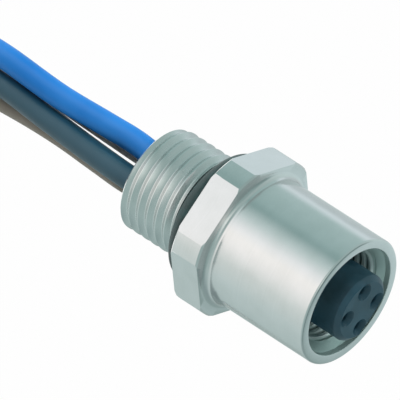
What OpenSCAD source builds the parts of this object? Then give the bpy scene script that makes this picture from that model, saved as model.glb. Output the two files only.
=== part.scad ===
// Sensor connector for panel mounting: a turned shell with a coupling sleeve, a hexagon and a panel
// thread, a four-way socket insert, and four single leads.
// The axis lies along X with the mating end at +X. The plane X = 0 is the face that meets the panel.

/* [Coupling sleeve] */
// Outside diameter of the sleeve
sleeve_d = 15.5; // [14.5:0.1:16.5]
// Length of the sleeve from the hexagon to the rim
sleeve_l = 14; // [12.5:0.1:16]
// Bevel on the outer edge of the rim
rim_bevel = 0.25; // [0.15:0.05:0.6]
// Width of the flat ring on the rim
rim_w = 0.9; // [0.3:0.05:1.2]
// Depth of the plain mouth in front of the lead-in to the coupling thread
mouth_l = 0.7; // [0.3:0.1:1.5]
// Crest diameter of the coupling thread inside the sleeve
coupling_d = 10.9; // [10.4:0.1:11.4]
// Depth of the coupling thread
coupling_depth = 0.55; // [0.4:0.05:0.7]
// Depth of the coupling cavity behind the rim
cavity_l = 11.3; // [9.5:0.1:12]
// Length of the relief groove at the floor of the cavity
relief_l = 1.6; // [1:0.1:2.5]
// Thickness of the web that carries the insert
web_l = 3.2; // [2:0.1:4]

/* [Hexagon] */
// Width across the flats
hex_af = 17.8; // [17:0.1:19]
// Thickness of the hexagon
hex_t = 3.8; // [3:0.1:6]
// How far the sharp corners are turned down
corner_cut = 0.65; // [0.2:0.05:0.8]
// Bevel of the corners on the panel side
hex_bevel = 0.15; // [0.1:0.05:1]
// Fillet between the hexagon and the sleeve
hex_fillet = 0.75; // [0.3:0.05:0.9]
// Angle of the top corner, from straight up towards +Y
hex_turn = -5.5; // [-30:0.5:30]

/* [Panel thread] */
// Outside diameter of the panel thread
thread_d = 12.5; // [12:0.1:13.5]
// Depth of the panel thread
thread_depth = 0.6; // [0.4:0.05:0.7]
// Length from the panel face to the end of the thread
thread_l = 10.3; // [9:0.1:16]
// Bevel at the end of the thread
thread_bevel = 0.3; // [0.2:0.05:0.8]
// Length of the neck between the hexagon and the thread
neck_l = 2.2; // [2:0.1:3]
// Bevel at the mouth of the rear bore
bore_bevel = 0.3; // [0.1:0.05:0.5]

/* [Panel seal] */
// Section diameter of the seal ring
seal_section = 2.2; // [1.8:0.1:2.4]
// Depth of the seal's recess in the panel face
seal_recess = 0.1; // [0.05:0.05:0.6]
// Play around the seal
seal_gap = 0.04; // [0.02:0.01:0.1]

/* [Contact carrier] */
// Diameter of the carrier
carrier_d = 8.1; // [7.8:0.1:8.6]
// How far the carrier reaches past the rim
carrier_reach = 1.8; // [0.5:0.1:2.5]
// Bevel round the face of the carrier
carrier_edge = 0.6; // [0.3:0.05:0.8]
// How much wider the carrier's flange is, on each side
flange_w = 0.5; // [0.3:0.05:0.6]
// Length of the flange
flange_l = 2.5; // [1.5:0.1:3]
// Play between the carrier and its bores
carrier_gap = 0.03; // [0.02:0.01:0.08]
// Width of the key slot
key_w = 1.8; // [1.2:0.1:2]
// Depth of the key slot
key_depth = 1.2; // [0.8:0.05:1.3]
// Length of the key slot
key_l = 9; // [5:0.5:10]
// Distance from the axis to the bevel that leads the key in, on the face
key_lead = 2.6; // [2.5:0.05:3.2]
// Turn of the carrier in the housing, from straight up towards +Y
carrier_turn = 9.5; // [-45:0.5:45]

/* [Contacts] */
// Diameter of the circle that the contacts lie on
contact_circle_d = 4.8; // [4.6:0.05:5]
// Widest diameter of the funnel at a socket hole
funnel_d = 2.1; // [1.9:0.05:2.2]
// Diameter of the socket hole
entry_d = 1.3; // [1.2:0.05:1.5]
// Thickness of the wall in front of a contact
entry_l = 1.6; // [1.2:0.1:2.5]
// Outside diameter of a contact
contact_d = 1.8; // [1.7:0.05:2]
// Bore of a contact, for the mating pin
pin_bore_d = 1.05; // [1:0.01:1.2]
// Depth of that bore
pin_bore_l = 7; // [6:0.5:9]
// Width of the slits between the tines
slit_w = 0.25; // [0.15:0.05:0.3]
// Length of the slits
slit_l = 5; // [3:0.5:6]
// How much wider the collar of a contact is, on each side
collar_w = 0.3; // [0.2:0.05:0.35]
// Length of the collar
collar_l = 0.8; // [0.5:0.1:1.2]
// Length of a contact behind the carrier
tail_l = 4; // [3.5:0.1:4.5]
// Bore of the solder cup
cup_d = 1.3; // [1.2:0.05:1.4]
// Depth of the solder cup
cup_l = 2.5; // [1.5:0.1:2.8]
// Play round a contact
contact_gap = 0.04; // [0.02:0.01:0.08]

/* [Leads] */
// Outside diameter of a lead
lead_d = 2.8; // [2.4:0.1:3]
// Diameter of the conductor
core_d = 1.1; // [0.9:0.05:1.15]
// Length of the bare end of a conductor
strip_l = 6; // [4:0.5:8]
// Length of lead that the potting holds
lead_grip = 3; // [2:0.1:3.5]
// Depth of the potting's face in the rear bore
potting_recess = 0.5; // [0.3:0.1:1]
// Play round the pieces in the potting
potting_gap = 0.03; // [0.02:0.01:0.05]

/* [Hidden] */
$fn = 96;

// How far a cut runs past a face
cut = 1;
// Sides of a swept lead
lead_sides = 8;
// Angle from one contact to the next
way_step = 90;

sleeve_r = sleeve_d / 2;
coupling_r = coupling_d / 2;
relief_r = coupling_r + coupling_depth;
mouth_r = sleeve_r - rim_bevel - rim_w;
lead_in = mouth_r - coupling_r;
corner_r = hex_af / 2 / cos(30) - corner_cut;
fillet_r = min(hex_fillet, 0.8 * (hex_af - sleeve_d) / 2);
thread_r = thread_d / 2;
neck_r = thread_r - thread_depth;
seal_r = neck_r + seal_gap + seal_section / 2;
recess_r = neck_r + seal_section + 2 * seal_gap;
carrier_r = carrier_d / 2;
flange_r = carrier_r + flange_w;
web_r = carrier_r + carrier_gap;
rear_r = flange_r + carrier_gap;
contact_r = contact_circle_d / 2;
lead_r = lead_d / 2;

// Places along the axis, from the front to the rear
rim_x = hex_t + sleeve_l;
face_x = rim_x + carrier_reach;
nose_x = face_x - entry_l - contact_gap;
floor_x = rim_x - cavity_l;
step_x = floor_x - web_l;
back_x = step_x - flange_l;
cup_x = back_x - tail_l;
exit_x = -thread_l + potting_recess;
grip_x = exit_x + lead_grip;

// Free route of each lead after the potting: along the axis, then over and down
BROWN_ROUTE = [
    [-14, -0.8, -2.4], [-18, -0.7, -2.3], [-24, -0.4, -2.3], [-34, -0.7, -2.5],
    [-41.5, -0.8, -3.7], [-48, -1, -7], [-53, -1.2, -12], [-56.5, -1.4, -18.5], [-58, -1.6, -26],
    [-58.5, -2, -40], [-58, -2.5, -56], [-57, -2.5, -72], [-56, -2, -88], [-55.5, -1.5, -104],
    [-55.5, -1, -120], [-56, -0.5, -136], [-56, -0.5, -158.4]
];
WHITE_ROUTE = [
    [-14, 2.2, -0.6], [-18, 2.2, -0.5], [-24, 2.3, -0.4], [-34, 2.4, -0.4],
    [-42, 2.5, -1.7], [-49, 2.6, -5.3], [-55, 2.8, -11], [-58.5, 3, -18], [-60, 3.2, -26],
    [-61, 3.5, -40], [-61, 4.5, -56], [-60.5, 5.5, -72], [-59.5, 6, -88], [-59, 6, -104],
    [-59, 5.5, -120], [-59.5, 5, -136], [-59.5, 5, -155.2]
];
BLUE_ROUTE = [
    [-14, 0.6, 2.6], [-18, 0.4, 2.7], [-24, 0, 2.9], [-34, -0.2, 3.8],
    [-43, 0.1, 2.2], [-51, 0.2, -2.7], [-57.5, 0.3, -9.5], [-61.5, 0.2, -17.5], [-63, 0, -26],
    [-64, -0.5, -40], [-64, -1, -56], [-63.5, -1, -72], [-62.5, -0.5, -88], [-62, 0, -104],
    [-62, 0.5, -120], [-62.5, 0.5, -136], [-62.5, 0.5, -150]
];
BLACK_ROUTE = [
    [-14, -2.3, 0.4], [-18, -2.1, 0.4], [-24, -1.75, 0.5], [-34, -1.5, 1],
    [-42.5, -2.2, -0.2], [-50.5, -2.7, -4], [-56.5, -3, -10], [-60.5, -3.4, -17.5], [-62, -3.8, -26],
    [-62.5, -4.5, -40], [-62.5, -5.5, -56], [-62, -6, -72], [-61, -6, -88], [-60.5, -5.5, -104],
    [-60, -5, -120], [-60, -4.5, -136], [-60, -4.5, -152.3]
];
ROUTES = [BROWN_ROUTE, WHITE_ROUTE, BLUE_ROUTE, BLACK_ROUTE];
LEAD_NAMES = ["brown", "white", "blue", "black"];
LEAD_COLOURS = ["#7a5a44", "#e6e6e2", "#2f7fd6", "#2b3338"];

// Angle of a contact's place, from straight up towards +Y
function way_angle(way) = carrier_turn + way_step * (2 - way);
// Place of a contact across the axis, as [Y, Z]
function way_place(way) = contact_r * [sin(way_angle(way)), cos(way_angle(way))];

// Centreline of a lead from the bottom of its pocket to the end of its insulation
function lead_line(way) = concat(
    [for (x = [grip_x, exit_x]) [x, way_place(way)[0], way_place(way)[1]]],
    ROUTES[way]
);
function unit(v) = v / norm(v);
function heading(line, i) = unit(line[min(i + 1, len(line) - 1)] - line[max(i - 1, 0)]);
function ring_of(line, i) =
    let (ahead = heading(line, i), side = unit([0, 1, 0] - ahead[1] * ahead), up = cross(ahead, side))
    [for (k = [0 : lead_sides - 1])
        line[i] + lead_r * (cos(360 * k / lead_sides) * side + sin(360 * k / lead_sides) * up)];
function band_of(i) =
    [for (k = [0 : lead_sides - 1])
        let (a = i * lead_sides, next = (k + 1) % lead_sides)
        [a + k, a + lead_sides + k, a + lead_sides + next, a + next]];

// Turns the drawing axis Z onto the connector's axis X, with X onto Y and Y onto Z
module lengthwise() {
    rotate([90, 0, 90]) children();
}

// Carries a drawing on the axis to the place of one contact
module at_way(way) {
    translate(way_place(way)) children();
}

// A plain round bar between two places on the axis
module bar(r, from, to) {
    translate([0, 0, from]) cylinder(r = r, h = to - from);
}

module sleeve_outside() {
    rotate_extrude() polygon([
        [0, 0], [sleeve_r, 0], [sleeve_r, rim_x - rim_bevel], [sleeve_r - rim_bevel, rim_x], [0, rim_x]
    ]);
}

module sleeve_fillet() {
    translate([0, 0, hex_t]) rotate_extrude() difference() {
        translate([sleeve_r - fillet_r, -fillet_r]) square(2 * fillet_r);
        translate([sleeve_r + fillet_r, fillet_r]) circle(r = fillet_r);
    }
}

module hexagon() {
    intersection() {
        rotate(90 - hex_turn) cylinder(d = hex_af / cos(30), h = hex_t, $fn = 6);
        rotate_extrude() polygon([
            [0, 0], [hex_af / 2, 0], [corner_r, hex_bevel], [corner_r, hex_t], [0, hex_t]
        ]);
    }
}

module thread_outside() {
    rotate_extrude() polygon([
        [0, -thread_l], [thread_r - thread_bevel, -thread_l], [thread_r, -thread_l + thread_bevel],
        [thread_r, -neck_l - thread_depth], [neck_r, -neck_l], [neck_r, hex_t], [0, hex_t]
    ]);
}

module shell_bores() {
    rotate_extrude() polygon([
        [0, -thread_l - cut], [rear_r + bore_bevel, -thread_l - cut], [rear_r + bore_bevel, -thread_l],
        [rear_r, -thread_l + bore_bevel], [rear_r, step_x], [web_r, step_x], [web_r, floor_x],
        [relief_r, floor_x], [relief_r, floor_x + relief_l],
        [coupling_r, floor_x + relief_l + coupling_depth], [coupling_r, rim_x - mouth_l - lead_in],
        [mouth_r, rim_x - mouth_l], [mouth_r, rim_x + cut], [0, rim_x + cut]
    ]);
}

module seal_seat() {
    rotate_extrude() translate([neck_r, -neck_l / 2]) square([recess_r - neck_r, neck_l / 2 + seal_recess]);
}

// One turned piece: sleeve, hexagon, neck and thread
module housing() {
    color("#b4bfbd") lengthwise() difference() {
        union() {
            sleeve_outside();
            sleeve_fillet();
            hexagon();
            thread_outside();
        }
        shell_bores();
        seal_seat();
    }
}

// Rubber ring on the neck, pressed between the hexagon and the panel
module panel_seal() {
    color("#20292b") lengthwise()
        translate([0, 0, seal_recess - seal_gap - seal_section / 2])
            rotate_extrude() translate([seal_r, 0]) circle(d = seal_section);
}

// Stepped hole for a contact: funnel, socket hole and the bore that the contact slides into
module contact_bore() {
    funnel_l = (funnel_d - entry_d) / 2;
    rotate_extrude() polygon([
        [0, back_x - cut], [contact_d / 2 + contact_gap, back_x - cut],
        [contact_d / 2 + contact_gap, face_x - entry_l], [entry_d / 2, face_x - entry_l],
        [entry_d / 2, face_x - funnel_l], [funnel_d / 2, face_x], [funnel_d / 2, face_x + cut],
        [0, face_x + cut]
    ]);
}

module key_slot() {
    rotate(90 - (way_angle(0) + way_angle(1)) / 2)
        translate([carrier_r - key_depth, -key_w / 2, face_x - key_l])
            cube([key_depth + cut, key_w, key_l + cut]);
}

// Sloping cut across the face above the key slot
module key_bevel() {
    rotate(90 - (way_angle(0) + way_angle(1)) / 2) translate([key_lead, 0, face_x])
        rotate([90, 0, 0]) linear_extrude(carrier_d, center = true)
            polygon([[-cut, cut], [carrier_r, -carrier_r], [carrier_r, cut]]);
}

// Moulded insert, pushed in from the rear until its flange meets the web
module contact_carrier() {
    color("#263238") lengthwise() difference() {
        rotate_extrude() polygon([
            [0, back_x], [flange_r, back_x], [flange_r, step_x], [carrier_r, step_x],
            [carrier_r, face_x - carrier_edge], [carrier_r - carrier_edge, face_x], [0, face_x]
        ]);
        key_slot();
        key_bevel();
        for (way = [0 : 3]) at_way(way) contact_bore();
    }
}

// Turned socket contact: tines at the nose, a collar behind the carrier and a solder cup
module contact(way) {
    color("#d9b25a") lengthwise() at_way(way) difference() {
        union() {
            bar(contact_d / 2, cup_x, nose_x);
            bar(contact_d / 2 + collar_w, back_x - collar_l, back_x);
        }
        bar(pin_bore_d / 2, nose_x - pin_bore_l, nose_x + cut);
        for (turn = [0, 90]) rotate(turn)
            translate([-slit_w / 2, -contact_d, nose_x - slit_l]) cube([slit_w, 2 * contact_d, slit_l + cut]);
        bar(cup_d / 2, cup_x - cut, cup_x + cup_l);
    }
}

// Resin that fills the rear bore round the solder cups, the cores and the ends of the leads
module potting() {
    color("#1b2022") lengthwise() difference() {
        bar(rear_r - potting_gap, exit_x, back_x);
        for (way = [0 : 3]) at_way(way) {
            bar(contact_d / 2 + collar_w + potting_gap, back_x - collar_l - potting_gap, back_x + cut);
            bar(contact_d / 2 + potting_gap, cup_x, back_x);
            bar(core_d / 2 + potting_gap, exit_x, back_x);
            bar(lead_r + potting_gap, exit_x - cut, grip_x);
        }
    }
}

// Insulated lead swept along its line
module lead(way) {
    line = lead_line(way);
    last = len(line) - 1;
    points = [for (i = [0 : last]) each ring_of(line, i)];
    sides = [for (i = [0 : last - 1]) each band_of(i)];
    start_cap = [for (k = [0 : lead_sides - 1]) k];
    end_cap = [for (k = [lead_sides - 1 : -1 : 0]) last * lead_sides + k];
    color(LEAD_COLOURS[way]) polyhedron(points, concat([start_cap], sides, [end_cap]));
}

// Bare ends of a conductor: one soldered into its cup, the other stripped at the free end
module core(way) {
    line = lead_line(way);
    color("#c8956a") {
        lengthwise() at_way(way) bar(core_d / 2, grip_x, cup_x + cup_l);
        translate(line[len(line) - 1]) rotate([180, 0, 0]) cylinder(d = core_d, h = strip_l);
    }
}

housing();
panel_seal();
contact_carrier();
potting();
for (way = [0 : 3]) {
    contact(way);
    lead(way);
    core(way);
}
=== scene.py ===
# %% [markdown]
# # A panel mount sensor connector
#
# A sensor cable plugs into this connector from outside a machine, and four leads run from its rear
# to the wiring inside. One turned metal shell holds everything: a sleeve with a thread inside it,
# a hexagon for the spanner, and a thread that goes through the wall. This lesson dresses the CAD
# model of it. The solids stay as the frame, so every piece made here is put where its solid is.

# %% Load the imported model
import math

import bpy
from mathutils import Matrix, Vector


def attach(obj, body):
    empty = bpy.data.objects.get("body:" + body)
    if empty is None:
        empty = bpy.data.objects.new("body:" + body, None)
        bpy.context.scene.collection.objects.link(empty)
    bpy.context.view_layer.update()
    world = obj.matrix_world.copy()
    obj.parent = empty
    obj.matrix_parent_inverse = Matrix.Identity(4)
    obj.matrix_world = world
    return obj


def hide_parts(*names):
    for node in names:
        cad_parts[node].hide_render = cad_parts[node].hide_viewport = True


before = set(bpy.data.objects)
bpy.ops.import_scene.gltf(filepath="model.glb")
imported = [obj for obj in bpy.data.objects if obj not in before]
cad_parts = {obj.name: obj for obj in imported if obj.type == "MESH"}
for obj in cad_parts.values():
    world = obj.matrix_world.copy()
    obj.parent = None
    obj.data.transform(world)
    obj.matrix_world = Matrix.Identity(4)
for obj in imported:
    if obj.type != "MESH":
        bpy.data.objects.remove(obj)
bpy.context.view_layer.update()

MM = 0.001
print("CAD nodes:", len(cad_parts))

# %% [markdown]
# ## The camera
#
# The photograph was taken from far away with a long lens, so that parallel edges stay parallel.
# An orthographic camera would give that too, but a very long lens on a distant camera keeps a
# natural falloff and works in any other view. The connector's axis is X, with its front at +X.
# The camera stands to the left of the front and looks down at about 45 degrees. It is aimed from the
# middle of the rim, which lies to the right of the picture's middle, below it and nearer to the lens.

# %% Put the camera in its place
LENS = 1500.0
SENSOR = 36.0
VIEW_WIDTH = 43.32 * MM
AZIMUTH = math.radians(42.24)
ELEVATION = math.radians(45.4)
RIM_MIDDLE_X = 17.7
RIM_TO_RIGHT, RIM_BELOW, RIM_NEARER = 16.085, 10.995, 5.0

to_right = Vector((math.cos(AZIMUTH), math.sin(AZIMUTH), 0))
to_camera = Vector((math.sin(AZIMUTH) * math.cos(ELEVATION),
                    -math.cos(AZIMUTH) * math.cos(ELEVATION), math.sin(ELEVATION)))
to_top = to_camera.cross(to_right)
rim_middle = Vector((RIM_MIDDLE_X * MM, 0, 0))
aim = rim_middle - to_right * RIM_TO_RIGHT * MM + to_top * RIM_BELOW * MM - to_camera * RIM_NEARER * MM
distance = LENS * VIEW_WIDTH / SENSOR

camera_data = bpy.data.cameras.new("photo_camera")
camera_data.lens = LENS
camera_data.sensor_width = SENSOR
camera = bpy.data.objects.new("photo_camera", camera_data)
bpy.context.collection.objects.link(camera)
camera.location = aim + to_camera * distance
camera.rotation_euler = (-to_camera).to_track_quat("-Z", "Y").to_euler()
bpy.context.scene.camera = camera
print("camera distance in metres:", round(distance, 3))

# %% [markdown]
# ## Four leads
#
# Each lead is a copper conductor in a soft plastic sheath, 2.8 mm thick. It leaves the potting
# straight, runs back with its neighbours and then hangs down under its own weight. A route is a
# short list of points, the same ones that the CAD model uses. A circle could be extruded from point
# to point, but it would be pinched in the bends. Here a smooth line through the points gives the
# middle of the lead, and a curve with a round bevel gives its sheath. The curve is then made a mesh,
# and its caps are merged to the tube, so that the cut ends can be worked like any other piece.

# %% Routes of the leads
# In millimetres: where the potting grips a lead, where the lead comes out, and the circle of the ways.
GRIP_X = -6.8
EXIT_X = -9.8
CONTACT_R = 2.4
WAY_TURN = {"brown": 189.5, "white": 99.5, "blue": 9.5, "black": -80.5}
ROUTES = {
    "brown": [
        (-14, -0.8, -2.4), (-18, -0.7, -2.3), (-24, -0.4, -2.3), (-34, -0.7, -2.5), (-41.5, -0.8, -3.7),
        (-48, -1, -7), (-53, -1.2, -12), (-56.5, -1.4, -18.5), (-58, -1.6, -26), (-58.5, -2, -40),
        (-58, -2.5, -56), (-57, -2.5, -72), (-56, -2, -88), (-55.5, -1.5, -104), (-55.5, -1, -120),
        (-56, -0.5, -136), (-56, -0.5, -158.4)],
    "white": [
        (-14, 2.2, -0.6), (-18, 2.2, -0.5), (-24, 2.3, -0.4), (-34, 2.4, -0.4), (-42, 2.5, -1.7),
        (-49, 2.6, -5.3), (-55, 2.8, -11), (-58.5, 3, -18), (-60, 3.2, -26), (-61, 3.5, -40),
        (-61, 4.5, -56), (-60.5, 5.5, -72), (-59.5, 6, -88), (-59, 6, -104), (-59, 5.5, -120),
        (-59.5, 5, -136), (-59.5, 5, -155.2)],
    "blue": [
        (-14, 0.6, 2.6), (-18, 0.4, 2.7), (-24, 0, 2.9), (-34, -0.2, 3.8), (-43, 0.1, 2.2),
        (-51, 0.2, -2.7), (-57.5, 0.3, -9.5), (-61.5, 0.2, -17.5), (-63, 0, -26), (-64, -0.5, -40),
        (-64, -1, -56), (-63.5, -1, -72), (-62.5, -0.5, -88), (-62, 0, -104), (-62, 0.5, -120),
        (-62.5, 0.5, -136), (-62.5, 0.5, -150)],
    "black": [
        (-14, -2.3, 0.4), (-18, -2.1, 0.4), (-24, -1.75, 0.5), (-34, -1.5, 1), (-42.5, -2.2, -0.2),
        (-50.5, -2.7, -4), (-56.5, -3, -10), (-60.5, -3.4, -17.5), (-62, -3.8, -26), (-62.5, -4.5, -40),
        (-62.5, -5.5, -56), (-62, -6, -72), (-61, -6, -88), (-60.5, -5.5, -104), (-60, -5, -120),
        (-60, -4.5, -136), (-60, -4.5, -152.3)],
}
print("points on the routes:", {colour: len(route) for colour, route in ROUTES.items()})

# %% A smooth line along each route


def across(angle, radius=1.0):
    """A place across the axis, by its angle from straight up towards +Y and its radius."""
    return Vector((0, radius * math.sin(math.radians(angle)), radius * math.cos(math.radians(angle))))


def smooth_line(points, steps=7):
    """A line that passes through every point, with its speed set by the length of each stretch."""
    knots = [0.0]
    for before, after in zip(points, points[1:]):
        knots.append(knots[-1] + (after - before).length)
    slopes = []
    for i in range(len(points)):
        low, high = max(i - 1, 0), min(i + 1, len(points) - 1)
        if low == i or high == i:
            slopes.append((points[high] - points[low]) / (knots[high] - knots[low]))
            continue
        back = (points[i] - points[low]) / (knots[i] - knots[low])
        ahead = (points[high] - points[i]) / (knots[high] - knots[i])
        share = (knots[i] - knots[low]) / (knots[high] - knots[low])
        slopes.append(back * (1 - share) + ahead * share)
    line = []
    for i in range(len(points) - 1):
        span = knots[i + 1] - knots[i]
        for step in range(steps):
            t = step / steps
            line.append(points[i] * (2 * t**3 - 3 * t**2 + 1) + slopes[i] * span * (t**3 - 2 * t**2 + t)
                        + points[i + 1] * (3 * t**2 - 2 * t**3) + slopes[i + 1] * span * (t**3 - t**2))
    line.append(points[-1])
    return line


lead_lines = {}
for colour, route in ROUTES.items():
    start = [Vector((x, 0, 0)) + across(WAY_TURN[colour], CONTACT_R) for x in (GRIP_X, EXIT_X)]
    line = smooth_line(start + [Vector(place) for place in route])
    lead_lines[colour] = [place * MM for place in line]
    length = sum((b - a).length for a, b in zip(line, line[1:]))
    print("lead", colour, "is", round(length, 1), "mm long")

# %% Helpers that pick what an operator works on


def pick_nothing():
    """Leave edit mode and deselect everything, the CAD nodes too."""
    if bpy.context.mode != "OBJECT":
        bpy.ops.object.mode_set(mode="OBJECT")
    bpy.ops.object.select_all(action="DESELECT")


def pick_only(piece):
    """Select one object and make it the active one."""
    pick_nothing()
    piece.select_set(True)
    bpy.context.view_layer.objects.active = piece


def pick_all(piece):
    """Go into edit mode with the whole mesh of a piece selected."""
    pick_only(piece)
    bpy.ops.object.mode_set(mode="EDIT")
    bpy.ops.mesh.select_all(action="SELECT")


def pick_some(piece, kind, wanted):
    """Go into edit mode with just the parts selected, FACE or EDGE, that pass a test."""
    pick_only(piece)
    bpy.ops.object.mode_set(mode="EDIT")
    bpy.ops.mesh.select_mode(type=kind)
    bpy.ops.mesh.select_all(action="DESELECT")
    bpy.ops.object.mode_set(mode="OBJECT")
    for part in piece.data.polygons if kind == "FACE" else piece.data.edges:
        part.select = wanted(part)
    bpy.ops.object.mode_set(mode="EDIT")


def face_outwards(piece):
    """Point all faces of a closed mesh outwards, and leave edit mode."""
    pick_all(piece)
    bpy.ops.mesh.normals_make_consistent(inside=False)
    bpy.ops.object.mode_set(mode="OBJECT")


# %% Sheaths of the leads
LEAD_R = 1.4
CUT_EDGE = 0.1
SAME_PLACE = 1e-7


def sheathe(name, line, radius):
    """A round tube along a line, with its ends cut square and their edges broken."""
    curve = bpy.data.curves.new(name, "CURVE")
    curve.dimensions = "3D"
    curve.bevel_depth = radius
    curve.bevel_resolution = 10
    curve.use_fill_caps = True
    spline = curve.splines.new("POLY")
    spline.points.add(len(line) - 1)
    for point, place in zip(spline.points, line):
        point.co = (*place, 1)
    tube = bpy.data.objects.new(name, curve)
    bpy.context.collection.objects.link(tube)
    pick_only(tube)
    bpy.ops.object.convert(target="MESH")
    tube = bpy.context.object
    pick_all(tube)
    bpy.ops.mesh.remove_doubles(threshold=SAME_PLACE)
    pick_some(tube, "FACE", lambda face: len(face.vertices) > 4)
    bpy.ops.mesh.region_to_loop()
    bpy.ops.mesh.bevel(offset=CUT_EDGE * MM, segments=2, affect="EDGES")
    face_outwards(tube)
    bpy.ops.object.shade_smooth_by_angle(angle=math.radians(35))
    return tube


leads = {}
for colour, line in lead_lines.items():
    leads[colour] = sheathe("sheath_" + colour, line, LEAD_R * MM)
    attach(leads[colour], "root")
    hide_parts("lead_" + colour)
    "lead_" + colour
    print(leads[colour].name, "has", len(leads[colour].data.polygons), "faces")

# %% [markdown]
# ## Bare copper ends
#
# At its free end each lead is stripped for 6 mm, and seven fine copper strands show: one in the
# middle and six twisted round it. The other end is soldered into a contact deep in the potting.
# The strands could be seven curves, but a Screw modifier is quicker: seven circles, drawn where the
# strands start, are wound along the lead all at once.

# %% A helper that twists strands
STRAND_R = 0.18
STRAND_SIDES = 10
TWIST = math.radians(130)


def close_mesh(piece):
    """Fill every hole of a mesh and point its faces outwards."""
    pick_all(piece)
    bpy.ops.mesh.fill_holes(sides=0)
    face_outwards(piece)


def twist(name, start, axis, length):
    """Seven strands wound along X or Z from a start, in millimetres."""
    pick_nothing()
    turned = (0, math.pi / 2, 0) if axis == "X" else (0, 0, 0)
    bpy.ops.mesh.primitive_circle_add(
        vertices=STRAND_SIDES, radius=STRAND_R * MM, location=start * MM, rotation=turned)
    bundle = bpy.context.object
    bundle.name = bundle.data.name = name
    bpy.ops.object.transform_apply(location=False, rotation=True, scale=True)
    bpy.ops.object.mode_set(mode="EDIT")
    for sixth in range(6):
        out = 2 * STRAND_R * math.cos(math.pi * sixth / 3), 2 * STRAND_R * math.sin(math.pi * sixth / 3)
        beside = Vector((0, *out)) if axis == "X" else Vector((*out, 0))
        bpy.ops.mesh.primitive_circle_add(
            vertices=STRAND_SIDES, radius=STRAND_R * MM, location=(start + beside) * MM, rotation=turned)
    bpy.ops.object.mode_set(mode="OBJECT")
    winding = bundle.modifiers.new("winding", "SCREW")
    winding.axis = axis
    winding.angle = TWIST
    winding.screw_offset = length * MM
    winding.steps = winding.render_steps = 16
    bpy.ops.object.modifier_apply(modifier=winding.name)
    bpy.ops.object.transform_apply()
    close_mesh(bundle)
    return bundle


# %% Twist the strands of each lead
# In millimetres: the bare length, what of it stays in the sheath at either end, and the cup's bottom.
STRIP_L = 6.0
IN_SHEATH_L, IN_LEAD_L = 1.0, 0.5
CUP_END_X = -0.7

strands = {}
for colour, line in lead_lines.items():
    tip = line[-1] / MM
    grip = Vector((GRIP_X - IN_LEAD_L, 0, 0)) + across(WAY_TURN[colour], CONTACT_R)
    soldered = twist("soldered_" + colour, grip, "X", CUP_END_X - GRIP_X + IN_LEAD_L)
    inner_end = tip + Vector((0, 0, IN_SHEATH_L))
    strands[colour] = twist("strands_" + colour, inner_end, "Z", -STRIP_L - IN_SHEATH_L)
    soldered.select_set(True)
    bpy.ops.object.join()
    bpy.ops.object.shade_smooth_by_angle(angle=math.radians(50))
    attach(strands[colour], "root")
    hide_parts("core_" + colour)
    low = min(corner.co.z for corner in strands[colour].data.vertices)
    print(strands[colour].name, "reaches down to", round(low / MM, 2), "mm")

# %% [markdown]
# ## The leads' lines
#
# The leads are soft, and hang here under their own weight. A mesh alone doesn't say that they may also
# lie in another way, and a joint for every short stretch would be heavy. Here only the number of points
# on each lead's line is printed.

# %% Count the points on each lead's line
for colour, line in lead_lines.items():
    print(leads[colour].name, "is a cord with", len(line), "points on its line")

# %% [markdown]
# ## The turned shell
#
# The shell comes from one bar in a lathe. A profile that is spun round the axis would give the same
# form, but drawing it out ring by ring is closer to the lathe and easy to read: one circle is
# extruded along the axis, and each new ring is widened or narrowed to its radius. The pairs below
# are places along the axis and radii in millimetres. They run from the rear end over the outside to
# the front rim, and back through the inside, and the last ring is bridged to the first.

# %% A helper that turns a piece


def turn(name, profile, sides=144, hollow=False):
    """Draw out a circle along X, ring by ring, through (place, radius) pairs in millimetres."""
    pick_nothing()
    x, r = profile[0]
    bpy.ops.mesh.primitive_circle_add(
        vertices=sides, radius=r * MM, location=(x * MM, 0, 0), rotation=(0, math.pi / 2, 0))
    piece = bpy.context.object
    piece.name = piece.data.name = name
    bpy.ops.object.transform_apply()
    bpy.ops.object.mode_set(mode="EDIT")
    bpy.ops.mesh.select_mode(type="EDGE")
    bpy.ops.mesh.select_all(action="SELECT")
    for next_x, next_r in profile[1:]:
        bpy.ops.mesh.extrude_edges_move(TRANSFORM_OT_translate={"value": ((next_x - x) * MM, 0, 0)})
        bpy.ops.transform.resize(value=(1, next_r / r, next_r / r), center_override=(next_x * MM, 0, 0))
        x, r = next_x, next_r
    bpy.ops.mesh.select_all(action="DESELECT")
    bpy.ops.mesh.select_non_manifold()
    if hollow:
        bpy.ops.mesh.bridge_edge_loops()
    else:
        bpy.ops.mesh.fill_holes(sides=0)
    face_outwards(piece)
    return piece


# %% Turn the shell
REAR_X, RIM_X, CHAMFER = -10.3, 17.8, 0.3
THREAD_R, THREAD_END_X = 6.25, -2.8
NECK_R, NECK_X = 5.65, -2.2
RECESS_R, RECESS_EDGE_R, RECESS_X = 7.93, 7.95, 0.1
HEX_T, CORNER_R, EDGE = 3.8, 9.63, 0.2
FILLET_R, FILLET_STEPS, SLEEVE_R = 0.75, 8, 7.75
MOUTH_R, CREST_R, RELIEF_R, CAVITY_X = 6.6, 5.45, 6.0, 6.5
WEB_X, WEB_R, BORE_R = 3.3, 4.08, 4.58

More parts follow.
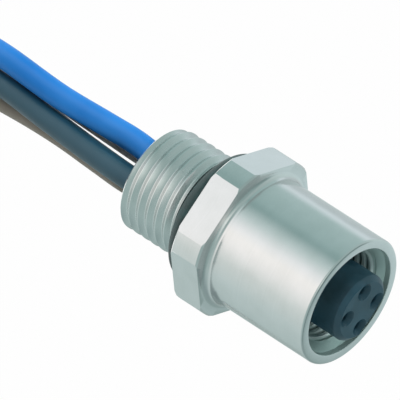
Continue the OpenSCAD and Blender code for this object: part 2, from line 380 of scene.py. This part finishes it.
rear_outside = [(REAR_X, 5.0), (REAR_X, THREAD_R - CHAMFER), (REAR_X + CHAMFER, THREAD_R),
                (THREAD_END_X, THREAD_R), (NECK_X, NECK_R), (RECESS_X, NECK_R), (RECESS_X, RECESS_R)]
hexagon_outside = [(0, RECESS_EDGE_R), (0, CORNER_R - EDGE), (EDGE, CORNER_R),
                   (HEX_T - EDGE, CORNER_R), (HEX_T, CORNER_R - EDGE)]
fillet = []
for step in range(FILLET_STEPS + 1):
    around = math.radians(90 * step / FILLET_STEPS)
    fillet.append((HEX_T + FILLET_R * (1 - math.cos(around)), SLEEVE_R + FILLET_R * (1 - math.sin(around))))
rim = [(17.55, SLEEVE_R), (17.64, 7.73), (17.73, 7.67), (17.78, 7.58), (RIM_X, 7.48), (RIM_X, 6.66),
       (17.75, MOUTH_R)]
inside = [(17.1, MOUTH_R), (15.95, CREST_R), (8.65, CREST_R), (8.1, RELIEF_R), (CAVITY_X, RELIEF_R),
          (CAVITY_X, WEB_R), (WEB_X, WEB_R), (WEB_X, BORE_R), (REAR_X + CHAMFER, BORE_R),
          (REAR_X, BORE_R + CHAMFER)]
shell = turn("turned_shell", rear_outside + hexagon_outside + fillet + rim + inside, hollow=True)
print(shell.name, "has", len(shell.data.polygons), "faces before the hexagon is cut")

# %% [markdown]
# ## The hexagon
#
# On the real part the bar is already hexagonal, and the lathe takes its corners down to a round.
# Here it goes the other way, which keeps the shell one mesh: it is turned round, and six flats are
# cut with the bisect tool, which throws away what lies beyond each plane and fills the cut. Only the
# hexagon reaches past the planes, so nothing else is touched. The edges of the flats then get a fine
# bevel, which catches a thin line of light.

# %% Cut the six flats
FLAT_R = 8.9
FLAT_TURN = -35.5
FLAT_EDGE = 0.11
flats = [across(FLAT_TURN + 60 * side) for side in range(6)]
pick_all(shell)
for flat in flats:
    bpy.ops.mesh.select_all(action="SELECT")
    bpy.ops.mesh.bisect(plane_co=flat * FLAT_R * MM, plane_no=flat, use_fill=True, clear_outer=True,
                        threshold=1e-9)


def on_a_flat(face):
    """Whether a face lies in the plane of one of the six flats."""
    return any(face.normal.dot(flat) > 0.99999 and abs(face.center.dot(flat) - FLAT_R * MM) < 1e-6
               for flat in flats)


pick_some(shell, "FACE", on_a_flat)
bpy.ops.mesh.region_to_loop()
bpy.ops.mesh.bevel(offset=FLAT_EDGE * MM, segments=2, affect="EDGES", clamp_overlap=True)
bpy.ops.object.mode_set(mode="OBJECT")
print("flats:", sum(on_a_flat(face) for face in shell.data.polygons))
print("faces in all:", len(shell.data.polygons))

# %% [markdown]
# ## The two threads
#
# A lathe cuts a thread with a pointed tool that moves along while the work turns. A bump in the
# material would be quicker, but the outline would stay straight, so the lathe's way is taken here. A
# square is placed clear of the metal and one of its edges is drawn out into the tool's point. Its
# outline is wound along the axis with a Screw modifier, and a boolean takes the winding away from the
# shell. The panel tool is almost as wide as the pitch, so only a narrow crest stays between two
# slopes, and flaring it there rounds the crest. The panel thread outside has a pitch of 1.27 mm, and
# the coupling thread inside one of 1 mm. Both are right-handed.

# %% Helpers that grind and drive a thread tool


def edge_ends(piece, edge):
    """The places of the two ends of an edge."""
    return [piece.data.vertices[v].co for v in edge.vertices]


def wound_tool(name, steps_in, pitch, start, turns):
    """A thread tool wound along X. steps_in are (half width, radius) pairs from its back to its point."""
    pick_nothing()
    half, r = steps_in[0]
    into_metal = 1 if steps_in[-1][1] > r else -1
    bpy.ops.mesh.primitive_plane_add(
        size=2 * half * MM, location=(start * MM, 0, (r - into_metal * half) * MM),
        rotation=(math.pi / 2, 0, 0))
    tool = bpy.context.object
    tool.name = name
    bpy.ops.object.transform_apply()
    pick_some(tool, "EDGE", lambda edge: all(
        abs(end.z - r * MM) < SAME_PLACE for end in edge_ends(tool, edge)))
    for next_half, next_r in steps_in[1:]:
        bpy.ops.mesh.extrude_edges_move(TRANSFORM_OT_translate={"value": (0, 0, (next_r - r) * MM)})
        bpy.ops.transform.resize(value=(next_half / half, 1, 1), center_override=(start * MM, 0, next_r * MM))
        half, r = next_half, next_r
    bpy.ops.mesh.select_mode(type="FACE")
    bpy.ops.mesh.select_all(action="SELECT")
    bpy.ops.mesh.dissolve_faces()
    bpy.ops.mesh.delete(type="ONLY_FACE")
    bpy.ops.object.mode_set(mode="OBJECT")
    winding = tool.modifiers.new("winding", "SCREW")
    winding.axis = "X"
    winding.screw_offset = pitch * MM
    winding.iterations = turns
    winding.steps = winding.render_steps = 96
    bpy.ops.object.modifier_apply(modifier=winding.name)
    close_mesh(tool)
    return tool


def cut(piece, tool):
    """Take the tool's shape away from a piece, and put the tool away."""
    pick_only(piece)
    cutting = piece.modifiers.new("cutting", "BOOLEAN")
    cutting.object = tool
    cutting.operation = "DIFFERENCE"
    cutting.solver = "EXACT"
    bpy.ops.object.modifier_apply(modifier=cutting.name)
    bpy.data.objects.remove(tool)


# %% Cut the panel thread
PANEL_PITCH, PANEL_START_X, PANEL_TURNS = 1.27, -12.3, 8
PANEL_TOOL = [(0.62, 6.45), (0.6, 6.262), (0.57, 6.24), (0.53, 6.2), (0.1, 5.84), (0.05, 5.81), (0.02, 5.8)]
panel_tool = wound_tool("panel_thread_tool", PANEL_TOOL, PANEL_PITCH, PANEL_START_X, PANEL_TURNS)
quarter_x, point_r = (PANEL_START_X + PANEL_PITCH / 4) * MM, PANEL_TOOL[-1][1] * MM
quarter = min(panel_tool.data.vertices, key=lambda v: (
    abs(v.co.x - quarter_x) + abs(v.co.z) + abs(v.co.yz.length - point_r)))
print("a right-hand thread turns from +Z to -Y, and this one to", "-Y" if quarter.co.y < 0 else "+Y")
cut(shell, panel_tool)

# %% Cut the coupling thread
COUPLING_PITCH, COUPLING_START_X, COUPLING_TURNS = 1.0, 7.6, 11
COUPLING_TOOL = [(0.34, 5.25), (0.33, 5.435), (0.29, 5.47), (0.26, 5.52), (0.07, 5.9)]
coupling_tool = wound_tool(
    "coupling_thread_tool", COUPLING_TOOL, COUPLING_PITCH, COUPLING_START_X, COUPLING_TURNS)
cut(shell, coupling_tool)
print("faces with both threads:", len(shell.data.polygons))

# %% [markdown]
# ## Closing and shading the shell
#
# A boolean can leave two points in one place, which opens a hair-fine seam, so such points are merged
# and the mesh is tested for open edges. The shading is smoothed across small angles only. That would
# still bend the light on the flats next to their rounded edges, and a Weighted Normal modifier cures
# it, because it lets the large faces decide.

# %% Merge doubled points and smooth the shading


def even_shading(piece):
    """Smooth a piece across small angles, and let its large faces decide."""
    pick_only(piece)
    bpy.ops.object.shade_smooth_by_angle(angle=math.radians(32))
    even = piece.modifiers.new("even_shading", "WEIGHTED_NORMAL")
    even.keep_sharp = True
    bpy.ops.object.modifier_apply(modifier=even.name)


pick_all(shell)
bpy.ops.mesh.remove_doubles(threshold=SAME_PLACE)
bpy.ops.mesh.dissolve_degenerate(threshold=SAME_PLACE)
bpy.ops.mesh.select_mode(type="EDGE")
bpy.ops.mesh.select_all(action="DESELECT")
bpy.ops.mesh.select_non_manifold()
bpy.ops.object.mode_set(mode="OBJECT")
print("open edges on the shell:", sum(edge.select for edge in shell.data.edges))
even_shading(shell)
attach(shell, "root")
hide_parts("housing")
print(shell.name, "has", len(shell.data.polygons), "faces")

# %% [markdown]
# ## The panel seal
#
# A rubber O-ring lies in front of the thread and is squeezed against the wall. It is moulded in two
# halves, so a fine line runs round it where the halves meet. It could be turned like the shell, but a
# torus is round from the start. The loop of edges on its outside is bevelled into a narrow band,
# which is then raised.

# %% Mould the seal
SEAL_X, SEAL_R, SEAL_WIRE_R = -1.04, 6.79, 1.09
BAND_W, BAND_RAISE = 0.05, 1.003
pick_nothing()
bpy.ops.mesh.primitive_torus_add(
    major_segments=144, minor_segments=36, major_radius=SEAL_R * MM, minor_radius=SEAL_WIRE_R * MM,
    location=(SEAL_X * MM, 0, 0), rotation=(0, math.pi / 2, 0))
seal = bpy.context.object
seal.name = seal.data.name = "moulded_seal"
bpy.ops.object.transform_apply()
pick_some(seal, "EDGE", lambda edge: all(
    abs(end.x - SEAL_X * MM) < SAME_PLACE and end.yz.length > SEAL_R * MM for end in edge_ends(seal, edge)))
bpy.ops.mesh.bevel(offset=BAND_W * MM, segments=2, affect="EDGES")
bpy.ops.transform.resize(value=(1, BAND_RAISE, BAND_RAISE), center_override=(SEAL_X * MM, 0, 0))
bpy.ops.object.mode_set(mode="OBJECT")
bpy.ops.object.shade_smooth()
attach(seal, "root")
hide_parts("panel_seal")
print(seal.name, "is", round(max(v.co.yz.length for v in seal.data.vertices) / MM, 2), "mm in radius")

# %% [markdown]
# ## The contact carrier
#
# The dark insert is moulded plastic. Its face has four funnels that lead the plug's pins into the
# contacts, a key slot down its side that lets the plug in one way round, and a bevel across the key's
# side that helps the plug to find the slot. The body is turned like the shell. The bevel is cut with
# bisect, and the holes and the slot with booleans, as the pins in a mould would leave them. Its shading
# is evened out in the same way too, or its long side would grow lighter towards the face.

# %% Turn the carrier and bevel its key side
FACE_X = 19.6
FLANGE_R, INSERT_R = 4.55, 4.05
KEY_TURN = 144.5
KEY_BEVEL_R = 2.6
key_out = across(KEY_TURN)
carrier = turn("moulded_carrier", [
    (0.8, 4.35), (1.0, FLANGE_R), (WEB_X, FLANGE_R), (WEB_X, INSERT_R), (19.0, INSERT_R), (19.12, 3.99),
    (19.52, 3.57), (FACE_X, 3.47)], sides=128)
pick_all(carrier)
bpy.ops.mesh.bisect(
    plane_co=(Vector((FACE_X, 0, 0)) + key_out * KEY_BEVEL_R) * MM, plane_no=Vector((1, 0, 0)) + key_out,
    use_fill=True, clear_outer=True, threshold=1e-9)
bpy.ops.object.mode_set(mode="OBJECT")
print(carrier.name, "reaches forward to", round(max(v.co.x for v in carrier.data.vertices) / MM, 2), "mm")

# %% Cut the key slot
KEY_W, KEY_FLOOR_R, KEY_L, KEY_EDGE = 1.8, 2.85, 9.0, 0.2
PAST_FACE, TOOL_H = 2, 3
pick_nothing()
bpy.ops.mesh.primitive_cube_add(size=1)
slot_tool = bpy.context.object
bpy.ops.transform.resize(value=((KEY_L + PAST_FACE) * MM, KEY_W * MM, TOOL_H * MM))
bpy.ops.transform.translate(value=(
    (FACE_X - KEY_L / 2 + PAST_FACE / 2) * MM, 0, (KEY_FLOOR_R + TOOL_H / 2) * MM))
bpy.ops.object.transform_apply()
slot_tool.rotation_euler = (-math.radians(KEY_TURN), 0, 0)
bpy.ops.object.transform_apply()
pick_some(slot_tool, "FACE", lambda face: face.normal.dot(key_out) < -0.9)
bpy.ops.mesh.region_to_loop()
bpy.ops.mesh.bevel(offset=KEY_EDGE * MM, segments=4, affect="EDGES")
bpy.ops.object.mode_set(mode="OBJECT")
tool_middle = sum((v.co for v in slot_tool.data.vertices), Vector()) / len(slot_tool.data.vertices)
print("the slot's direction is right:", tool_middle.normalized().dot(key_out) > 0)
cut(carrier, slot_tool)

# %% Cut the four funnels and contact holes
CONTACT_BORE_R, PIN_HOLE_R, PIN_HOLE_X = 0.94, 0.65, 18.0
hole_profile = [(-6.0, CONTACT_BORE_R), (PIN_HOLE_X, CONTACT_BORE_R), (PIN_HOLE_X, PIN_HOLE_R),
                (18.98, PIN_HOLE_R), (19.05, 0.68), (19.52, 0.98), (19.57, 1.02), (FACE_X + 0.01, 1.06),
                (FACE_X + 0.5, 1.1)]


def move_to_way(piece, angle):
    """Move a piece that was turned on the axis to one of the four ways."""
    pick_all(piece)
    bpy.ops.transform.translate(value=across(angle, CONTACT_R * MM))
    bpy.ops.object.mode_set(mode="OBJECT")


for colour, angle in WAY_TURN.items():
    hole_tool = turn("hole_tool_" + colour, hole_profile, sides=48)
    move_to_way(hole_tool, angle)
    cut(carrier, hole_tool)
even_shading(carrier)
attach(carrier, "root")
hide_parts("contact_carrier")
print(carrier.name, "has", len(carrier.data.polygons), "faces")

# %% [markdown]
# ## Where the resin climbs
#
# The potting is poured as a liquid, and before it sets it climbs a little up the wall of the bore
# and round each lead. Those small hollow fillets are what the eye expects there. A bevel could make
# them only if the resin and the leads were one mesh, so each fillet is a ring of its own with a hollow
# side, turned like the shell and moved to its lead.

# %% Resin fillets
lead_fillet = [(-9.7, 1.36), (-10.07, 1.385), (-9.95, 1.44), (-9.87, 1.52), (-9.82, 1.62), (EXIT_X, 1.7),
               (-9.7, 1.7)]
bore_fillet = [(-9.7, 4.57), (-9.98, 4.57), (-9.9, 4.5), (-9.84, 4.4), (-9.81, 4.28), (EXIT_X, 4.18),
               (-9.7, 4.18)]
resin = turn("resin_fillets", bore_fillet, sides=96, hollow=True)
for angle in WAY_TURN.values():
    ring = turn("lead_fillet", lead_fillet, sides=48, hollow=True)
    move_to_way(ring, angle)
    pick_only(resin)
    ring.select_set(True)
    bpy.ops.object.join()
bpy.ops.object.shade_smooth_by_angle(angle=math.radians(40))
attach(resin, "root")
print(resin.name, "has", len(resin.data.polygons), "faces")

# %% [markdown]
# ## Writing materials as sums
#
# A material is a net of nodes. Written out node by node it is long and hard to read, so a small class
# wraps one socket. Adding or multiplying two of them makes a Math node, and the node method makes any
# other kind: its settings are set first, because some of them change which sockets there are, and
# then its sockets get their values or links.

# %% A class for shader maths


class Value:
    """One socket of a material, which Python can add, subtract and multiply."""

    def __init__(self, tree, socket):
        self.tree = tree
        self.socket = socket

    def node(self, kind, settings, inputs, out=0):
        """Any node: its type, its settings, the values or links of its sockets, and the output to use."""
        made = self.tree.nodes.new(kind)
        for name, setting in settings.items():
            if name == "stops":
                ramp = made.color_ramp
                while len(ramp.elements) < len(setting):
                    ramp.elements.new(1.0)
                for element, (place, colour) in zip(ramp.elements, setting):
                    element.position = place
                    element.color = (*colour, 1)
            else:
                setattr(made, name, setting)
        for name, given in inputs.items():
            if isinstance(given, Value):
                self.tree.links.new(given.socket, made.inputs[name])
            else:
                made.inputs[name].default_value = given
        return Value(self.tree, made.outputs[out])

    def math(self, operation, first, second=0.0):
        """A Math node on two values or numbers."""
        return self.node("ShaderNodeMath", {"operation": operation}, {0: first, 1: second})

    def __add__(self, other):
        return self.math("ADD", self, other)

    def __mul__(self, other):
        return self.math("MULTIPLY", self, other)

    def __sub__(self, other):
        return self.math("SUBTRACT", self, other)

    def __rsub__(self, other):
        return self.math("SUBTRACT", other, self)

    __radd__ = __add__
    __rmul__ = __mul__

    def vector_math(self, operation, other, out="Value"):
        """A Vector Math node on this place and another one."""
        return self.node("ShaderNodeVectorMath", {"operation": operation}, {0: self, 1: other}, out)

    def along_axis(self):
        """How far along the connector's axis this place lies."""
        return self.node("ShaderNodeSeparateXYZ", {}, {"Vector": self}, "X")

    def noise(self, scale, detail=2.0, roughness=0.5):
        """Soft noise from 0 to 1, with so many lumps to the metre."""
        return self.node("ShaderNodeTexNoise", {}, {
            "Vector": self, "Scale": scale, "Detail": detail, "Roughness": roughness})

    def blend(self, dark, light):
        """A colour between two others, with this value as the share of the second."""
        return self.node("ShaderNodeMix", {"data_type": "RGBA"}, {0: self, 6: dark, 7: light}, 2)

    def clamped(self, low, high):
        """This value stretched so that low becomes 0 and high becomes 1, and kept between them."""
        return self.node("ShaderNodeMapRange", {}, {"Value": self, "From Min": low, "From Max": high})

    def bump(self, height):
        """A normal that is tilted by this value, as if the surface rose so many metres."""
        return self.node("ShaderNodeBump", {}, {"Height": self, "Distance": height})

    def feed(self, shader, socket):
        """Link this value to a socket of a shader."""
        self.tree.links.new(self.socket, shader.inputs[socket])


# %% Helpers for colours and finishes


def paint(red, green, blue):
    """A colour as a picture program shows it, from 0 to 255, made linear for a shader."""
    linear = [v / 12.92 if v <= 0.04045 else ((v + 0.055) / 1.055) ** 2.4
              for v in (red / 255, green / 255, blue / 255)]
    return (*linear, 1.0)


def new_finish(name):
    """A new material, its shader, and the place on the piece as a Value."""
    material = bpy.data.materials.new(name)
    material.use_nodes = True
    tree = material.node_tree
    shader = tree.nodes["Principled BSDF"]
    place = tree.nodes.new("ShaderNodeTexCoord")
    return material, shader, Value(tree, place.outputs["Object"])


def dress(material, *pieces):
    """Give pieces one material in place of what they had."""
    for piece in pieces:
        piece.data.materials.clear()
        piece.data.materials.append(material)
    print(material.name, "has", len(material.node_tree.nodes), "nodes, on", [piece.name for piece in pieces])


print("the middle grey of a picture, 128, is", round(paint(128, 128, 128)[0], 3), "to a shader")

# %% [markdown]
# ## Nickel on the shell
#
# The shell is brass with a satin nickel coat. The lathe leaves fine rings round the axis, the bath
# leaves a soft cloudiness, and the metal underneath gives a very fine grain. A picture of brushed
# metal would show a seam. Instead, the rings are a noise that reads only the place along the axis and
# the distance from it, so they run round every turned surface. They tilt the surface by a few
# micrometres and change the gloss a little. The same two numbers tell where the thread and the mouth
# of the sleeve are. There the gloss is duller, and the colour is painted darker and a little greener,
# as painted shade, with less metal in the mouth. Only the crests inside get a lighter painted highlight.

# %% Where the painted shade, the painted highlight and the gloss change
# Each pair says where a change starts and where it is complete, along the axis or out from it.
THREAD_FADE, GROOVE_FADE = (-2.1 * MM, -2.5 * MM), (6.24 * MM, 6.05 * MM)
CAVITY_FADE, LIP_FADE, CREST_FADE = (6.3 * MM, 6.5 * MM), (6.67 * MM, 6.61 * MM), (5.75 * MM, 5.6 * MM)
nickel, shader, place = new_finish("satin_nickel")
along = place.along_axis()
axis_free = place.vector_math("MULTIPLY", (0, 1, 1), "Vector")
radius = place.node("ShaderNodeVectorMath", {"operation": "LENGTH"}, {0: axis_free}, "Value")
on_thread = along.clamped(*THREAD_FADE)
in_groove = on_thread * radius.clamped(*GROOVE_FADE)
in_mouth = along.clamped(*CAVITY_FADE) * radius.clamped(*LIP_FADE)
# The crests inside the mouth, which get a painted highlight.
crest_highlight_mask = radius.clamped(*CREST_FADE)
print("nodes for the places:", len(nickel.node_tree.nodes))

# %% Nickel
MICRON = 0.001 * MM
rings = place.node("ShaderNodeTexNoise", {"noise_dimensions": "1D"}, {
    "W": along + radius * 0.7, "Scale": 5200.0, "Detail": 3.0, "Roughness": 0.6})
cloud = place.noise(420.0, 3.0)
grain = place.noise(16000.0, 2.0, 0.6)
tone = (cloud * 0.7 + rings * 0.3).clamped(0.3, 0.7)
full_coat = tone.blend(paint(216, 215, 215), paint(225, 223, 224))
# Painted shade: the thread and the mouth are painted darker and greener than the nickel, and the crests
# inside get a painted highlight.
thread_painted_shade = tone.blend(paint(158, 182, 178), paint(170, 193, 189))
mouth_painted_shade = tone.blend(paint(130, 155, 152), paint(142, 166, 163))
crest_painted_highlight = tone.blend(paint(206, 232, 229), paint(216, 240, 237))
nickel_with_thread_shade = (on_thread * 0.2).blend(full_coat, thread_painted_shade)
in_mouth.blend(nickel_with_thread_shade, crest_highlight_mask.blend(mouth_painted_shade, crest_painted_highlight)).feed(shader, "Base Color")
(0.13 + cloud * 0.06 + rings * 0.04 + in_groove * 0.08 + in_mouth * 0.14).feed(shader, "Roughness")
# Less metal in the mouth, and still less on its crests, so that the painted shade and the painted highlight
# show there.
(1.0 - in_mouth * (0.6 + crest_highlight_mask * 0.35)).feed(shader, "Metallic")
(rings * 0.5 + cloud * 1.5 + grain * 0.1).bump(2.5 * MICRON).feed(shader, "Normal")
dress(nickel, shell)

# %% [markdown]
# ## Rubber, plastic and resin
#
# These three are dark and differ mainly in gloss. The rubber is dull with a faint bloom, the carrier
# has the even, fine grain of a spark-eroded mould, and the resin has set smooth with a gentle ripple.
# One flat colour each would look like a drawing, so a soft noise moves the colour and the gloss a
# little, and a finer one gives the surface its grain.

# %% Rubber
rubber, shader, place = new_finish("seal_rubber")
bloom = place.noise(700.0, 3.0).clamped(0.45, 0.75)
bloom.blend(paint(28, 50, 50), paint(46, 72, 72)).feed(shader, "Base Color")
(0.42 + bloom * 0.16).feed(shader, "Roughness")
place.noise(7000.0, 2.0).bump(4 * MICRON).feed(shader, "Normal")
dress(rubber, seal)

# %% Moulded plastic
plastic, shader, place = new_finish("moulded_plastic")
flow = place.noise(500.0, 2.0)
spark = place.noise(11000.0, 2.0, 0.6)
flow.clamped(0.3, 0.7).blend(paint(19, 49, 60), paint(28, 60, 73)).feed(shader, "Base Color")
(0.4 + spark * 0.12).feed(shader, "Roughness")
(spark * 0.8 + flow * 0.2).bump(5 * MICRON).feed(shader, "Normal")
dress(plastic, carrier)

# %% Resin
poured, shader, place = new_finish("poured_resin")
ripple = place.noise(420.0, 2.0)
ripple.clamped(0.3, 0.7).blend(paint(34, 38, 40), paint(46, 51, 53)).feed(shader, "Base Color")
(0.22 + ripple * 0.14).feed(shader, "Roughness")
(ripple * 0.9 + place.noise(4000.0) * 0.1).bump(20 * MICRON).feed(shader, "Normal")
dress(poured, bpy.data.objects["potting"], resin)

# %% [markdown]
# ## Gold and copper
#
# The socket contacts are gold plated brass, turned like the shell and much smaller. The strands are
# bare copper, a little darker where the air has reached them. Both are plain metal to the shader, and
# the same kind of noise makes the film on the gold and the tarnish on the copper.

# %% Gold
gold, shader, place = new_finish("gold_plate")
shader.inputs["Metallic"].default_value = 1.0
film = place.noise(1500.0, 3.0)
film.clamped(0.3, 0.7).blend(paint(214, 172, 96), paint(236, 202, 130)).feed(shader, "Base Color")
(0.2 + film * 0.16).feed(shader, "Roughness")
place.noise(12000.0).bump(3 * MICRON).feed(shader, "Normal")
dress(gold, *[bpy.data.objects["contact_%d" % way] for way in (1, 2, 3, 4)])

# %% Copper
copper, shader, place = new_finish("bare_copper")
shader.inputs["Metallic"].default_value = 1.0
tarnish = place.noise(1800.0, 3.0).clamped(0.4, 0.75)
tarnish.blend(paint(222, 150, 112), paint(176, 104, 74)).feed(shader, "Base Color")
(0.24 + tarnish * 0.2).feed(shader, "Roughness")
place.noise(9000.0).bump(3 * MICRON).feed(shader, "Normal")
dress(copper, *strands.values())

# %% [markdown]
# ## Insulation
#
# The sheaths are soft plastic, coloured right through. The extruder leaves them smooth with a slight
# orange peel, and handling leaves patches that shine a little more or less. One loop makes all four,
# because they differ only in colour, in gloss and in how strongly they reflect.

# %% Four colours of insulation
SHEATH_COLOURS = {
    "brown": (paint(128, 124, 114), paint(140, 135, 125)),
    "white": (paint(222, 222, 218), paint(236, 236, 233)),
    "blue": (paint(24, 114, 193), paint(36, 124, 203)),
    "black": (paint(27, 65, 80), paint(37, 76, 92)),
}
GLOSS = {"brown": 0.3, "white": 0.3, "blue": 0.3, "black": 0.2}
SHINE = {"brown": 0.15, "white": 0.15, "blue": 0.3, "black": 0.5}
for colour, (dark, light) in SHEATH_COLOURS.items():
    sheath, shader, place = new_finish("sheath_" + colour)
    handled = place.noise(160.0, 3.0)
    peel = place.noise(1800.0, 2.0)
    handled.clamped(0.3, 0.7).blend(dark, light).feed(shader, "Base Color")
    (GLOSS[colour] + handled * 0.2 + peel * 0.06).feed(shader, "Roughness")
    (peel * 0.7 + place.noise(6000.0) * 0.3).bump(12 * MICRON).feed(shader, "Normal")
    shader.inputs["Specular IOR Level"].default_value = SHINE[colour]
    dress(sheath, leads[colour])

# %% [markdown]
# ## Floor and backdrop
#
# The photograph has a white background. More light on a grey floor would bleach the object too, so
# the floor and the world are white to the camera and to reflections through the Light Path node, and
# the floor still takes the object's shadow. To the rest of the scene the world gives only a soft,
# even light.

# %% World
WORLD_LIGHT = 0.12


def where_seen(tree):
    """1 for what the camera, a reflection or a look through glass sees, and 0 for all other light."""
    path = tree.nodes.new("ShaderNodeLightPath")
    seen = Value(tree, path.outputs["Is Camera Ray"])
    for ray in ("Is Glossy Ray", "Is Transmission Ray"):
        seen = seen.math("MAXIMUM", seen, Value(tree, path.outputs[ray]))
    return seen


world = bpy.data.worlds.new("white_room")
bpy.context.scene.world = world
world.use_nodes = True
backdrop = world.node_tree.nodes["Background"]
backdrop.inputs["Color"].default_value = (1, 1, 1, 1)
(WORLD_LIGHT + where_seen(world.node_tree) * (1 - WORLD_LIGHT)).feed(backdrop, "Strength")
print("the world lights the object with", WORLD_LIGHT, "of its white")

# %% Floor
FLOOR_Z = -0.172
FLOOR_SIZE = 8.0
FLOOR_GREY = 0.65
FLOOR_WHITE = 0.97
pick_nothing()
bpy.ops.mesh.primitive_plane_add(size=FLOOR_SIZE, location=(0, 0, FLOOR_Z))
floor = bpy.context.object
floor.name = "pale_floor"
pale, shader, place = new_finish("pale_floor")
shader.inputs["Base Color"].default_value = (FLOOR_GREY, FLOOR_GREY, FLOOR_GREY, 1)
shader.inputs["Roughness"].default_value = 0.9
tree = pale.node_tree
white = place.node("ShaderNodeEmission", {}, {"Color": (1, 1, 1, 1), "Strength": 1.0})
mixed = place.node("ShaderNodeMixShader", {}, {
    0: where_seen(tree) * FLOOR_WHITE, 1: Value(tree, shader.outputs["BSDF"]), 2: white})
mixed.feed(tree.nodes["Material Output"], "Surface")
dress(pale, floor)
print("floor at", FLOOR_Z, "m")

# %% [markdown]
# ## Studio light
#
# Metal shows what stands round it, so a photographer puts it in a tent of white and grey cloth. The
# tent here is a closed tube round the connector's axis that only reflections see. A lamp in front of
# each flat would be another way, but the tent gives every turned surface its tone at once. Each strip
# of cloth is a colour ramp round the axis. The middle one is bright towards the camera, dark above,
# light beyond that and mid-grey below, which gives the sleeve its broad highlight and its dark band.
# The front one is what the rim and the face of the hexagon show, the far one is what the slopes of
# the thread show, and the cloth behind is bright. Three soft lamps, which reflections don't see, light
# the plastic and the leads: one from above and behind, so that the sleeve shades the carrier, a weaker
# one from the front, and a small one low on the left that reaches into the mouth.

# %% Put up the tent
TENT_R, TENT_L, TENT_X = 0.13, 0.6, -0.02
pick_nothing()
bpy.ops.mesh.primitive_cylinder_add(
    vertices=96, radius=TENT_R, depth=TENT_L, end_fill_type="NGON", location=(TENT_X, 0, 0),
    rotation=(0, math.pi / 2, 0))
tent = bpy.context.object
tent.name = "light_tent"
bpy.ops.object.transform_apply()
for ray in ("camera", "diffuse", "transmission", "volume_scatter", "shadow"):
    setattr(tent, "visible_" + ray, False)
print(tent.name, "is", TENT_L, "m long")

# %% Its strips of cloth
# Degrees round the axis, upwards from the side that faces the camera, and the colour there.
MIDDLE_STOPS = [
    (-180, (0.52, 0.60, 0.60)), (-155, (0.25, 0.31, 0.30)), (-135, (0.35, 0.44, 0.43)),
    (-90, (0.42, 0.51, 0.50)), (-55, (0.53, 0.59, 0.57)), (-28, (0.76, 0.77, 0.75)),
    (-10, (0.83, 0.83, 0.80)), (4, (0.74, 0.77, 0.77)), (24, (0.45, 0.55, 0.54)),
    (46, (0.19, 0.30, 0.29)), (60, (0.26, 0.38, 0.37)), (105, (0.32, 0.44, 0.43)),
    (119, (0.57, 0.66, 0.68)), (131, (0.40, 0.47, 0.48)), (157, (0.39, 0.45, 0.45)),
    (180, (0.52, 0.60, 0.60))]
FRONT_STOPS = [
    (-180, (0.36, 0.46, 0.46)), (-168, (0.22, 0.30, 0.29)), (-130, (0.20, 0.27, 0.27)),
    (-90, (0.32, 0.41, 0.40)), (-45, (0.30, 0.39, 0.38)), (0, (0.26, 0.34, 0.33)),
    (45, (0.28, 0.37, 0.36)), (90, (0.31, 0.40, 0.39)), (135, (0.44, 0.55, 0.54)),
    (168, (0.44, 0.55, 0.55)), (180, (0.36, 0.46, 0.46))]
FAR_STOPS = [
    (-180, (0.08, 0.13, 0.13)), (-100, (0.25, 0.34, 0.33)), (-50, (0.27, 0.36, 0.35)),
    (-20, (0.50, 0.57, 0.55)), (0, (0.70, 0.76, 0.73)), (20, (0.48, 0.56, 0.54)),
    (50, (0.24, 0.33, 0.32)), (100, (0.22, 0.31, 0.30)), (180, (0.08, 0.13, 0.13))]
BEHIND_COLOUR = (0.85, 0.88, 0.87, 1)
# Where one strip passes into the next along the axis, in metres, and how brightly the cloth glows.
BEHIND_TO_MIDDLE, MIDDLE_TO_FRONT, FRONT_TO_FAR = (-0.13, -0.10), (0.0, 0.04), (0.11, 0.14)
CLOTH_GLOW = 1.45
print("stops on the strips:", [len(stops) for stops in (MIDDLE_STOPS, FRONT_STOPS, FAR_STOPS)])

# %% Hang the cloth
facing = Vector((0, to_camera.y, to_camera.z)).normalized()
over = Vector((0, facing.z, -facing.y))
cloth, shader, place = new_finish("tent_cloth")
above = place.vector_math("DOT_PRODUCT", over)
towards = place.vector_math("DOT_PRODUCT", facing)
turned = place.math("ARCTAN2", above, towards) * (1 / (2 * math.pi)) + 0.5
middle, front, far = [
    turned.node("ShaderNodeValToRGB", {"stops": [(0.5 + degrees / 360, colour) for degrees, colour in stops]},
                {"Fac": turned}, "Color")
    for stops in (MIDDLE_STOPS, FRONT_STOPS, FAR_STOPS)]
along = place.along_axis()
strips = along.clamped(*MIDDLE_TO_FRONT).blend(middle, front)
strips = along.clamped(*FRONT_TO_FAR).blend(strips, far)
strips = along.clamped(*BEHIND_TO_MIDDLE).blend(BEHIND_COLOUR, strips)
glow = place.node("ShaderNodeEmission", {}, {"Color": strips, "Strength": CLOTH_GLOW})
glow.feed(cloth.node_tree.nodes["Material Output"], "Surface")
dress(cloth, tent)

# %% Three soft lamps


def soft_lamp(name, direction, distance, width, height, watts):
    """A soft rectangle of light that faces the connector and that reflections don't see."""
    lamp_data = bpy.data.lights.new(name, "AREA")
    lamp_data.shape = "RECTANGLE"
    lamp_data.size = width
    lamp_data.size_y = height
    lamp_data.energy = watts
    lamp = bpy.data.objects.new(name, lamp_data)
    bpy.context.collection.objects.link(lamp)
    lamp.location = direction.normalized() * distance
    lamp.rotation_euler = (-direction).to_track_quat("-Z", "Y").to_euler()
    lamp.visible_glossy = False
    print(name, "gives", watts, "W from", distance, "m away")


soft_lamp("key_lamp", Vector((-0.45, -0.05, 0.9)), distance=0.6, width=0.5, height=0.7, watts=4.0)
soft_lamp("front_lamp", Vector((0.6, 0.65, 0.47)), distance=0.6, width=0.35, height=0.35, watts=3.0)
soft_lamp("fill_lamp", Vector((0.79, -0.58, -0.21)), distance=0.4, width=0.15, height=0.15, watts=0.8)

# %% [markdown]
# ## Colour
#
# The Standard view shows colours as they are written.

# %% View
bpy.context.scene.view_settings.view_transform = "Standard"
